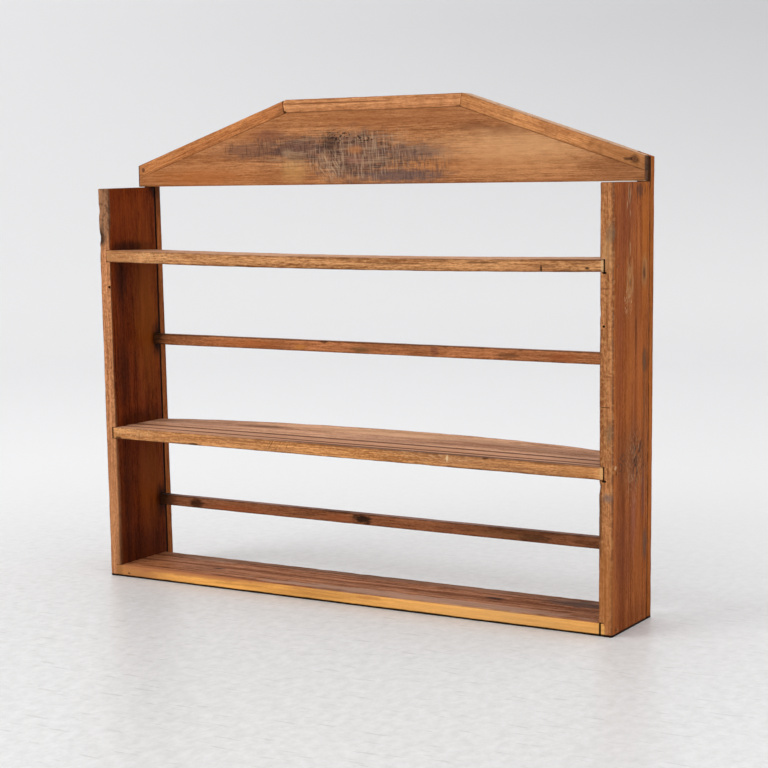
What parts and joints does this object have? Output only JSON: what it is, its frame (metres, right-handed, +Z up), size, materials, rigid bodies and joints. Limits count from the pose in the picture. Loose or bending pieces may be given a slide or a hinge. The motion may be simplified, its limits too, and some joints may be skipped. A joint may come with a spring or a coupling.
{
  "type": "plate rack",
  "caption": "Open pine plate rack with housed shelves, plate rails at the back and a gable-shaped pediment, to stand on a dresser or hang on a wall.",
  "frame": {"origin": "on the floor, under the middle of the rack's width and depth", "axes": "+X to the right seen from the front, +Y back to the wall, +Z up"},
  "size_m": [1.1, 0.171, 0.948],
  "materials": {
    "side_pine": "oiled, worn",
    "post_pine": "oiled, worn",
    "shelf_pine": "oiled, worn",
    "rail_pine": "oiled, worn",
    "pediment_pine": "oiled, stained",
    "cap_pine": "oiled, worn",
    "nail_iron": "rusted"
  },
  "bodies": {
    "root": {"side_board_left": "side_pine", "side_board_right": "side_pine", "rear_post_left": "post_pine", "rear_post_right": "post_pine", "shelf_top": "shelf_pine", "shelf_middle": "shelf_pine", "shelf_bottom": "shelf_pine", "plate_rail_upper": "rail_pine", "plate_rail_lower": "rail_pine", "pediment_board": "pediment_pine", "cap_strip_left": "cap_pine", "cap_strip_top": "cap_pine", "cap_strip_right": "cap_pine", "shelf_nails_left": "nail_iron", "shelf_nails_right": "nail_iron", "post_nails_left": "nail_iron", "post_nails_right": "nail_iron", "rail_nails": "nail_iron", "pediment_nails": "nail_iron", "cap_end_nails": "nail_iron", "cap_strip_pins": "nail_iron"}
  },
  "joints": []
}
